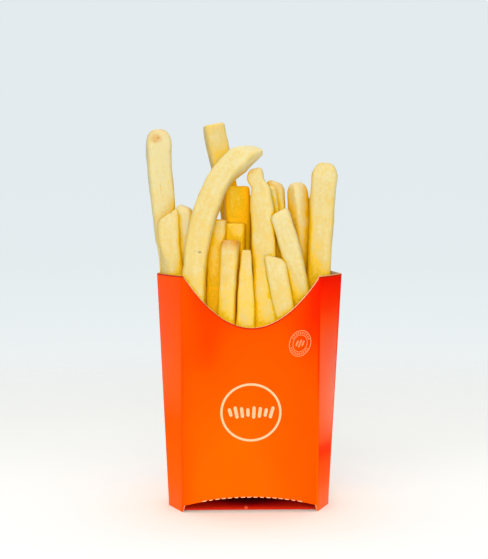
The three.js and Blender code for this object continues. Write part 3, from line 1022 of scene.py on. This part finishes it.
FRIES = [
    new_fry("tall left", (-29.8, 4.4), (-39.2, 5, 161), (8.4, 8), bow=(-2.6, 0, 10), turn=6, taper=1.32,
        dome=7, round=0.74, tone=-0.1, brown=0.3),
    new_fry("short left", (-29.6, -4.4), (-34.9, -4, 125), (10.4, 7.6), turn=-4, taper=0.88, cut=0.6,
        tone=0.1, brown=0.1, dome=2.6, round=0.3),
    new_fry("behind left", (-24, -1), (-27.6, -3, 128.5), (7.6, 7.4), turn=-15, taper=0.9, dome=3,
        round=0.5, cut=-0.4, tone=-0.35),
    new_fry("curved", (-23.6, -11.6), (5, -2, 151.6), (9.8, 9), bow=(-19.2, -3, 40), turn=-8, taper=0.36,
        taper_from=0.89, dome=3.5, round=0.5, tone=0.02, brown=0.05),
    new_fry("tall back", (5, 9.4), (-15.2, 9, 163.5), (8.8, 8.4), turn=10, tone=0.22, brown=0.12),
    # The gold back fry stands in the shade of the curved and tall back fries; its deep tone is painted
    # shade.
    new_fry("gold back", (-3.6, 2), (-5.6, 2.6, 137), (10.8, 7.4), turn=10, tone=0.6, brown=0.1),
    new_fry("second left", (-15.4, -4.6), (-13.6, -4.5, 123), (7.4, 7.4), turn=-14, tone=0.15, brown=0.3),
    new_fry("second middle", (-7, -3.5), (-6, -3.5, 121.5), (8.2, 7.6), turn=-12, tone=0.55, brown=0.2),
    new_fry("front short", (-11, -11.6), (-8.4, -10.4, 114.6), (7.2, 7.4), turn=-16, tone=0.22, brown=1.2),
    new_fry("wedge", (-2.2, -12.4), (-2, -11.6, 110.5), (10.6, 8), taper=0.38, turn=-6, tone=0.24),
    new_fry("centre tall", (7.4, -11), (4.5, -3, 144.5), (10.2, 8.2), turn=-10, taper=0.62, hook=-2.3,
        dome=3, round=0.5, cut=0.2, tone=0.12, brown=0.2, taper_from=0.8),
    new_fry("front right", (19, -12), (10.1, -10.4, 107.6), (9, 7.6), turn=-8, dome=2.6, round=0.35,
        cut=-0.5, tone=0.15, brown=0.1),
    new_fry("slanted", (28, -9.4), (11.9, -8, 126.6), (8.4, 8), bow=(1.8, 0, 0), turn=-8, dome=2.6,
        round=0.4, cut=0.2, tone=0.0, brown=0.1),
    new_fry("behind centre", (19, -1.5), (8, -1, 137), (7, 7), turn=12, taper=0.7, dome=3, round=0.5,
        tone=0.2),
    new_fry("tan back", (16, 5), (11.3, 4.4, 139), (6.9, 7), turn=-12, dome=3, round=0.5, cut=-0.4,
        tone=0.1, brown=0.5),
    new_fry("back right", (28, 5), (20, 4.4, 138.6), (7.6, 7.2), turn=36, dome=5, round=0.7, tone=-0.2),
    new_fry("sliver", (22, 11.4), (25.4, 12, 132), (7, 7), turn=5, tone=-0.2),
    new_fry("tall right", (29.7, -1), (32.3, 1.5, 147.1), (9.3, 8.8), bow=(-2.2, 0, 0), turn=-6, taper=1.2,
        dome=6.5, round=0.74, tone=0.1, brown=0.15),
    new_fry("rear far left", (-24.4, 10), (-25.4, 12, 122), (7.8, 7.4), turn=18),
    new_fry("rear left", (-15, 12), (-18.6, 13.4, 119), (8.2, 7.6), turn=-6),
    new_fry("rear inner left", (-16, 5.4), (-19.6, 5.6, 122), (7.6, 7.6), turn=9, tone=0.6),
    new_fry("rear middle", (-6, 12.6), (-2.4, 16.4, 133), (7.8, 7.6), turn=5),
    new_fry("rear inner middle", (6.4, 4.4), (4, 5.6, 132), (7.6, 7.4), turn=-14, tone=0.6),
    new_fry("rear right", (9, 12.4), (8, 16, 135), (8, 7.6), bow=(2, 1, 0), turn=-10),
    new_fry("rear outer right", (16.4, 12.4), (16.6, 14.6, 126), (7.6, 7.4), turn=12, tone=0.2),
    new_fry("rear far right", (25, 10), (30.4, 9.6, 121), (7.4, 7.4), turn=28),
]
tallest = max(FRIES, key=lambda fry: fry["tip"][2])
print("showing fries:", len(FRIES), "and the highest is the", tallest["name"], "one")

# %% The short fries between them
SHORT_ROWS = ((-4.5, 79, 84), (4, 88, 104), (11, 92, 106))  # depth of a row, its lowest and highest tip
SHORT_HALF_SPAN = 25
SHORT_PER_ROW = 7
SHORT_SHIFT = 2.5
SHORT_SIZE = 7.6
SHORT_TURN = 45
SEED = 11


def draws(state):
    """A repeatable run of numbers from 0 to 1."""
    while True:
        state = state * 16807 % 2147483647
        yield state / 2147483647


def short_fries():
    """Rows of short fries, each a little off its place, with its own height and turn."""
    draw = draws(SEED)
    fries = []
    for y, lowest, highest in SHORT_ROWS:
        for i in range(SHORT_PER_ROW):
            x = SHORT_HALF_SPAN * (-1 + 2 * i / (SHORT_PER_ROW - 1))
            height = lerp(lowest, highest, next(draw))
            shift = [SHORT_SHIFT * (2 * next(draw) - 1) for _ in range(2)]
            turn = SHORT_TURN * (2 * next(draw) - 1)
            tone = 0.3 + 0.4 * ((i * 5 + len(fries)) % 7) / 7
            tip = (x + shift[0], y + shift[1], height)
            fries.append(new_fry("short", (x, y), tip, (SHORT_SIZE, SHORT_SIZE), turn=turn, tone=tone))
    return fries


# %% [markdown]
# ## Cutting a fry
#
# A fry's skin is a row of rings along its line. The section is a square with rounded corners, and a
# clear flat on each side, as the knife left it. Slow noise makes the stick swell, thin and wander,
# and finer noise raises the blisters of the crust. The tip is cut square or rounded off, and a cut
# may slope. Below the rim the skin is pressed flat where it meets the board.

# %% A fry's line and its rings
CURVE_STEPS = 240
RING_STEP = 1.05
CAP_STEPS = 6
CAP_RINGS = ((0.05, 0.8), (0.08, 0.5), (0, 0.2))  # the cut face's own rings: rise and size


def bent_line(fry, shares):
    """Points and directions at shares of a fry's length, on a curve from foot to tip."""
    start = np.array((*fry["foot"], FOOT_HEIGHT))
    end = np.array(fry["tip"], float)
    pull = (start + end) / 2 + np.array(fry["bow"])
    t = np.linspace(0, 1, CURVE_STEPS)[:, None]
    curve = (1 - t) ** 2 * start + 2 * t * (1 - t) * pull + t**2 * end
    steps = np.linalg.norm(np.diff(curve, axis=0), axis=1)
    run = np.concatenate([[0], np.cumsum(steps)])
    at = np.interp(np.array(shares) * run[-1], run, t[:, 0])[:, None]
    points = (1 - at) ** 2 * start + 2 * at * (1 - at) * pull + at**2 * end
    ways = 2 * (1 - at) * (pull - start) + 2 * at * (end - pull)
    return points, ways / np.linalg.norm(ways, axis=1)[:, None], run[-1]


def ring_plan(fry, length):
    """One fry's rings as (place along it, size): a straight run, the rounding, then the cut face."""
    dome = fry["dome"]
    run = np.linspace(0, length - dome, max(int((length - dome) / RING_STEP), 4))
    plan = [(place, 1.0) for place in run]
    for step in range(1, CAP_STEPS + 1):
        turn = math.pi / 2 * step / CAP_STEPS
        plan.append((length - dome + dome * math.sin(turn), 1 - fry["round"] * (1 - math.cos(turn))))
    edge = plan[-1][1]
    return plan + [(length + rise, edge * size) for rise, size in CAP_RINGS]


trial = new_fry("trial", (0, 0), (0, 0, RIM_HEIGHT), (SHORT_SIZE, SHORT_SIZE))
print("rings of a fry that ends at the rim:", len(ring_plan(trial, bent_line(trial, [0])[2])))

# %% One fry's skin
AROUND = 24
SECTION_POWER = 4.6  # 2 would be round, and a high number square
SWELLS = ((14.0, 0.5), (5.0, 0.24), (2.4, 0.11))  # length of a swelling and its height, in mm
SWELLS_APART = 3.1  # keeps one fry's swellings away from the next one's
WANDER, WANDER_MM = 0.45, 22  # how far the stick strays to each side, and over what length
HOOK_FROM, HOOK_TO = 0.895, 0.95  # shares of a fry between which its end steps aside
CUT_REACH = 10  # a sloping cut fades in over this length
LOWER_PAINTED_SHADE = 0.5  # painted shade: a fry is golder towards its foot, deep in the heap
EDGE_CRISP_AND_SHADE, EDGE_POWER = 0.34, 6  # and golder along its four edges: crisper crust there, and painted shade at the seams between fries
BROWN_FULL, BROWN_REACH = 0.3, 5.0  # the browning is full and gone this far below the tip
GRAIN_APART = 300.0  # keeps one fry's grain pattern away from the next one's


def skin_noise(point, seed):
    """How far the skin is raised at a point."""
    total = 0
    for size, height in SWELLS:
        total += height * noise.noise(Vector(point) / size + Vector((seed, 0, 0)))
    return total


def closed_skin(rings, around):
    """The faces of a stack of rings: a band between each two, then a cap at the end and the start."""
    faces = []
    for r in range(rings - 1):
        for k in range(around):
            j = (k + 1) % around
            a, b = r * around, (r + 1) * around
            faces.append((a + k, a + j, b + j, b + k))
    return faces + [tuple(range((rings - 1) * around, rings * around)), tuple(range(around - 1, -1, -1))]


def fry_skin(fry, seed):
    """Points and faces of one fry, and what its material reads: browning, tone and grain place."""
    length = bent_line(fry, [0])[2]
    plan = ring_plan(fry, length)
    shares = np.clip([place / length for place, _ in plan], 0, 1)
    centres, ways, _ = bent_line(fry, shares)
    turned = math.radians(fry["turn"])
    angles = np.linspace(0, 2 * math.pi, AROUND, endpoint=False)
    c, s = np.cos(angles), np.sin(angles)
    wide = np.sign(c) * np.abs(c) ** (2 / SECTION_POWER)
    deeper = np.sign(s) * np.abs(s) ** (2 / SECTION_POWER)
    corner = np.minimum(np.abs(wide), np.abs(deeper))
    points, browning, tones, grain = [], [], [], []
    for (place, scale), share, centre, way in zip(plan, shares, centres, ways):
        across = np.array((math.cos(turned), math.sin(turned), 0))
        across = across - way * (across @ way)
        across /= np.linalg.norm(across)
        deep = np.cross(way, across)
        narrowed = max(share - fry["taper_from"], 0) / (1 - fry["taper_from"])
        grow = lerp(1, fry["taper"], narrowed) * scale
        slow = Vector((seed, place / WANDER_MM, 0))
        strayed = across * WANDER * noise.noise(slow)
        middle = centre + strayed + deep * WANDER * noise.noise(slow + Vector((9, 0, 0)))
        middle = middle + way * (place - share * length)
        middle[0] += fry["hook"] * float(smooth_step(HOOK_FROM, HOOK_TO, share))
        near_tip = float(smooth_step(length - CUT_REACH, length, place))
        end = float(smooth_step(length - BROWN_REACH, length - BROWN_FULL, place))
        for k in range(AROUND):
            a = wide[k] * fry["size"][0] / 2 * grow
            d = deeper[k] * fry["size"][1] / 2 * grow
            point = middle + across * a + deep * d + way * (a * fry["cut"] * near_tip)
            outwards = across * a + deep * d
            outwards /= max(np.linalg.norm(outwards), 1e-6)
            raised = skin_noise(point, seed * SWELLS_APART) * min(scale * 1.2, 1)
            points.append(point + outwards * raised)
            browning.append(fry["brown"] * end * (0.5 + 0.5 * corner[k]))
            tones.append(fry["tone"] + LOWER_PAINTED_SHADE * (1 - share) + EDGE_CRISP_AND_SHADE * corner[k] ** EDGE_POWER)
            grain.append((a, d, place + GRAIN_APART * seed))
    values = {"browning": browning, "tone": tones, "grain": grain}
    return np.array(points), closed_skin(len(plan), AROUND), values


# %% Pressed against the board
GAP_TO_BOARD = 0.35
PRESS_TO = 102.4  # the skin is free again a little above this height
PRESS_FADE = 12.0


def press_into_sleeve(points):
    """Moves points that would cross the board back to its inner face."""
    x, y, z = points.T
    corner, depth = half_sizes(z)
    slant = np.hypot(corner - CREASE_HALF, depth)
    inset = BOARD + GAP_TO_BOARD
    spread = np.clip(np.abs(x) / CREASE_HALF, 0, 1)
    held_to = np.where(y > 0, np.maximum(back_top(spread), PRESS_TO), PRESS_TO)
    hold = 1 - smooth_step(0, PRESS_FADE, z - held_to)
    normal_x, normal_y = depth / slant, (corner - CREASE_HALF) / slant
    over = np.abs(x) * normal_x + np.abs(y) * normal_y - (corner * normal_x - inset)
    over = np.maximum(over, 0) * hold
    x2 = x - np.sign(x) * normal_x * over
    y2 = y - np.sign(y) * normal_y * over
    too_deep = np.maximum(np.abs(y2) - (depth - inset), 0) * hold
    return np.stack([x2, y2 - np.sign(y2) * too_deep, z], axis=1)


# %% [markdown]
# ## The heap
#
# The heap is one mesh: every fry's skin, and below them the core that stands for the fries nobody
# sees. Four values are stored at each point for the material to read. The tone says how golden the
# crust is; it carries painted shade towards a fry's foot and along its edges. The browning is
# strongest at the edges of a cut tip. The grain place is the point's own place in the straight stick,
# so that streaks follow a bent fry. The closeness says how much of what a point faces is other fries,
# and the material paints shade from it as deeper gold.

# %% Core
CORE_FLOOR = 10.0
CORE_TOP = 76.0
FLOOR_RINGS = (0.02, 0.5, 1)  # sizes of the core's rings, from the middle out, then back in
TOP_RINGS = (1, 0.85, 0.7, 0.55, 0.4, 0.25, 0.1, 0.01)
CORE_STEPS = 8  # points along each of the six sides
CORE_BUMP, CORE_BUMP_MM = 3.0, 5  # height and breadth of the bumps on its top


def core_skin():
    """Points and faces of the core, a closed block that fills the carton's outline."""
    points = []
    rings = [(CORE_FLOOR, size) for size in FLOOR_RINGS] + [(CORE_TOP, size) for size in TOP_RINGS]
    for height, size in rings:
        corners = outline_corners(height, BOARD + GAP_TO_BOARD)
        bumpy = CORE_BUMP if height == CORE_TOP and size < 1 else 0
        for i in range(6):
            for part in np.linspace(0, 1, CORE_STEPS, endpoint=False):
                x, y = lerp(corners[i], corners[(i + 1) % 6], part) * size
                bump = bumpy * noise.noise(Vector((x, y, 0)) / CORE_BUMP_MM)
                points.append((x, y, height + bump))
    return np.array(points), closed_skin(len(rings), 6 * CORE_STEPS)


# %% How closed in a point is
CLOSE_MM = 22.0  # a neighbour within this distance counts
LOOKS = 18
LOOK_START_MM = 0.3  # looks start just off the skin
LOOK_LEAN = 1.01  # a little over 1, so that no look goes into the skin
GOLDEN_TURN = math.pi * (3 - 5**0.5)  # spreads the looks evenly


def closeness(made, wall):
    """At each point of the heap, the share of looks outwards that meet a fry or the board close by."""
    mesh = made.data
    points, faces = [], []
    for piece in (mesh, wall.data):
        first = len(points)
        points += [v.co for v in piece.vertices]
        faces += [[first + i for i in p.vertices] for p in piece.polygons]
    tree = BVHTree.FromPolygons(points, faces)
    shares = np.zeros(len(mesh.vertices), np.float32)
    for v in mesh.vertices:
        outwards = v.normal
        start = v.co + outwards * LOOK_START_MM * MM
        met = 0
        for i in range(LOOKS):
            up = 1 - 2 * (i + 0.5) / LOOKS
            flat = math.sqrt(1 - up * up)
            turn = GOLDEN_TURN * i
            way = Vector((flat * math.cos(turn), flat * math.sin(turn), up)) + outwards * LOOK_LEAN
            met += tree.ray_cast(start, way.normalized(), CLOSE_MM * MM)[0] is not None
        shares[v.index] = met / LOOKS
    return shares


# %% The whole heap
CORE_TONE = 0.8


def fried_heap(materials):
    """The core and every fry in one mesh, with the values that its material reads."""
    core_points, faces = core_skin()
    size = len(core_points)
    points = [core_points]
    stored = {"browning": [np.zeros(size)], "tone": [np.full(size, CORE_TONE)], "grain": [core_points]}
    count = size
    for seed, fry in enumerate([*short_fries(), *FRIES]):
        skin, skin_faces, values = fry_skin(fry, seed + 1)
        points.append(press_into_sleeve(skin))
        faces += [tuple(count + i for i in face) for face in skin_faces]
        for name, run in stored.items():
            run.append(values[name])
        count += len(skin)
    made = mesh_object("fries_heap", np.concatenate(points), faces, materials, crease_angle=70)
    for name, run in stored.items():
        store(made, name, np.concatenate(run))
    store(made, "closeness", closeness(made, sleeve))
    return made


# %% [markdown]
# ## Fried potato
#
# A fry is a thin dry crust over wet, starchy flesh. Light goes into it and comes out again a
# millimetre or two away, warmer, because the starch keeps blue light. The deep gold in the gaps
# between fries, against the paler tips, is painted shade: the crust is coloured golder where other
# fries or the board close a point in, towards a fry's foot and along its edges. The crust itself is
# matt with a trace of oil, faintly blistered, and turns tan to brown where it is thinnest and
# hottest: at the edges of the ends.

# %% Potato material
CRUST_TONES = (0, 0.35, 0.7, 1.0, 1.4)  # from a pale fry in the open to the painted shade of a deep gap
CRUST_AND_GAP_SHADE_COLOURS = ("#D7CB98", "#D8C076", "#E6C040", "#DCB204", "#F2BA00")
CLOSE_FROM, CLOSE_TO = 0.12, 0.9  # closeness between these adds gold as painted shade, up to the next number
# painted shade: the most gold that closeness adds
GAP_SHADE_GOLD = 1.0
TAN_POTATO = "#C88C26"
MOTTLE_MM = 5.0
STREAK_MM = 1.6  # width of a streak, which is five times as long
STREAK_STRETCH = (1, 1, 0.2)
BLISTER_MM = 1.3
GRAIN_MM = 0.5  # salt-fine grain of the crust
POTATO_IOR = 1.4
FLESH_DEPTH_MM = 3.2  # how far red light travels inside
TONE_SWINGS = (0.11, 0.13, 0.09)  # how far the mottle, the blisters and the streaks move the tone
TAN_SPOTS = (  # centre, half sizes and strength of a tanned patch
    ((-39.9, 0, 157.2), (3.3, 5, 2.8), 0.5),
    ((-38.9, 0, 157.3), (1.1, 5, 1.0), 0.85),
    ((-40.2, 0, 156.0), (1.4, 5, 0.6), 0.7),
    ((-37.8, 0, 136), (0.3, 5, 4), 0.3),
    ((-33.4, -7.5, 126.4), (0.7, 4, 1.5), 0.6),
    ((-17.2, 4.5, 147.5), (1.0, 6, 3.6), 0.55),
)
DARK_SPOTS = (((-21.5, -11, 109.75), (1.4, 5, 0.75), 1.0), ((-23.4, -11, 110.2), (0.7, 5, 0.35), 0.5))
CHAR = "#553812"


def fried_potato():
    """Crust on starch: soft warm depth, deep gold painted shade where closed in, a matt skin with fine
    blisters, tan and brown at the ends.
    """
    material, tree = new_material("fried_potato")
    where = add_node(tree, "ShaderNodeTexCoord").outputs["Object"]
    tone, browning, closed_in = (
        add_node(tree, "ShaderNodeAttribute", attribute_name=name).outputs["Fac"]
        for name in ("tone", "browning", "closeness")
    )
    mottle, blister, grain = (
        add_node(tree, "ShaderNodeTexNoise", {"Vector": where, "Scale": 1 / (size * MM), "Detail": 3.0})
        for size in (MOTTLE_MM, BLISTER_MM, GRAIN_MM)
    )
    place = add_node(tree, "ShaderNodeAttribute", attribute_name="grain").outputs["Vector"]
    drawn_out = add_node(tree, "ShaderNodeVectorMath", {0: place, 1: STREAK_STRETCH}, operation="MULTIPLY")
    streak = add_node(
        tree, "ShaderNodeTexNoise", {"Vector": drawn_out, "Scale": 1 / STREAK_MM, "Detail": 2.0}
    )
    swings = [
        add_node(
            tree, "ShaderNodeMapRange", {"Value": pattern, **NOISE_RANGE, "To Min": -most, "To Max": most}
        )
        for pattern, most in zip((mottle, blister, streak), TONE_SWINGS)
    ]
    painted_gap_shade = add_node(
        tree,
        "ShaderNodeMapRange",
        {"Value": closed_in, "From Min": CLOSE_FROM, "From Max": CLOSE_TO, "To Max": GAP_SHADE_GOLD},
        interpolation_type="SMOOTHSTEP",
    )
    golden = swings[0]
    for more in (*swings[1:], tone, painted_gap_shade):
        golden = add_node(tree, "ShaderNodeMath", {0: golden, 1: more}, operation="ADD")
    fitted = add_node(
        tree, "ShaderNodeMath", {0: golden, 1: 1 / CRUST_TONES[-1]}, operation="MULTIPLY", use_clamp=True
    )
    stops = [(place / CRUST_TONES[-1], colour) for place, colour in zip(CRUST_TONES, CRUST_AND_GAP_SHADE_COLOURS)]
    body = add_node(tree, "ShaderNodeValToRGB", {"Fac": fitted}, stops=stops)
    tanned = with_spots(tree, where, body, browning, TAN_SPOTS, TAN_POTATO)
    charred = with_spots(tree, where, tanned, 0.0, DARK_SPOTS, CHAR)
    blistered = add_node(
        tree, "ShaderNodeBump", {"Height": blister, "Strength": 0.6, "Distance": 0.35 * MM}
    )
    relief = add_node(
        tree,
        "ShaderNodeBump",
        {"Height": grain, "Normal": blistered, "Strength": 0.8, "Distance": 0.18 * MM},
    )
    flesh = add_node(
        tree,
        "ShaderNodeBsdfPrincipled",
        {
            "Base Color": charred,
            "Roughness": 0.55,
            "IOR": POTATO_IOR,
            "Specular IOR Level": 0.15,
            "Subsurface Weight": 0.6,
            "Subsurface Radius": (1.0, 0.8, 0.3),
            "Subsurface Scale": FLESH_DEPTH_MM * MM,
            "Normal": relief,
        },
    )
    add_node(tree, "ShaderNodeOutputMaterial", {"Surface": flesh})
    return material


heap = fried_heap([fried_potato()])

# %% [markdown]
# ## Fitting to the solids
#
# Nothing moves in this object, so every piece rides on the one body. The sleeve and the tray stand
# for the carton's solid, and the heap for the solid of the fries.

# %% Pieces and bodies
for piece in (sleeve, tray, print_ring, print_seal, heap):
    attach(piece, "root")
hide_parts("carton")
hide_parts("carton")
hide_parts("fries")
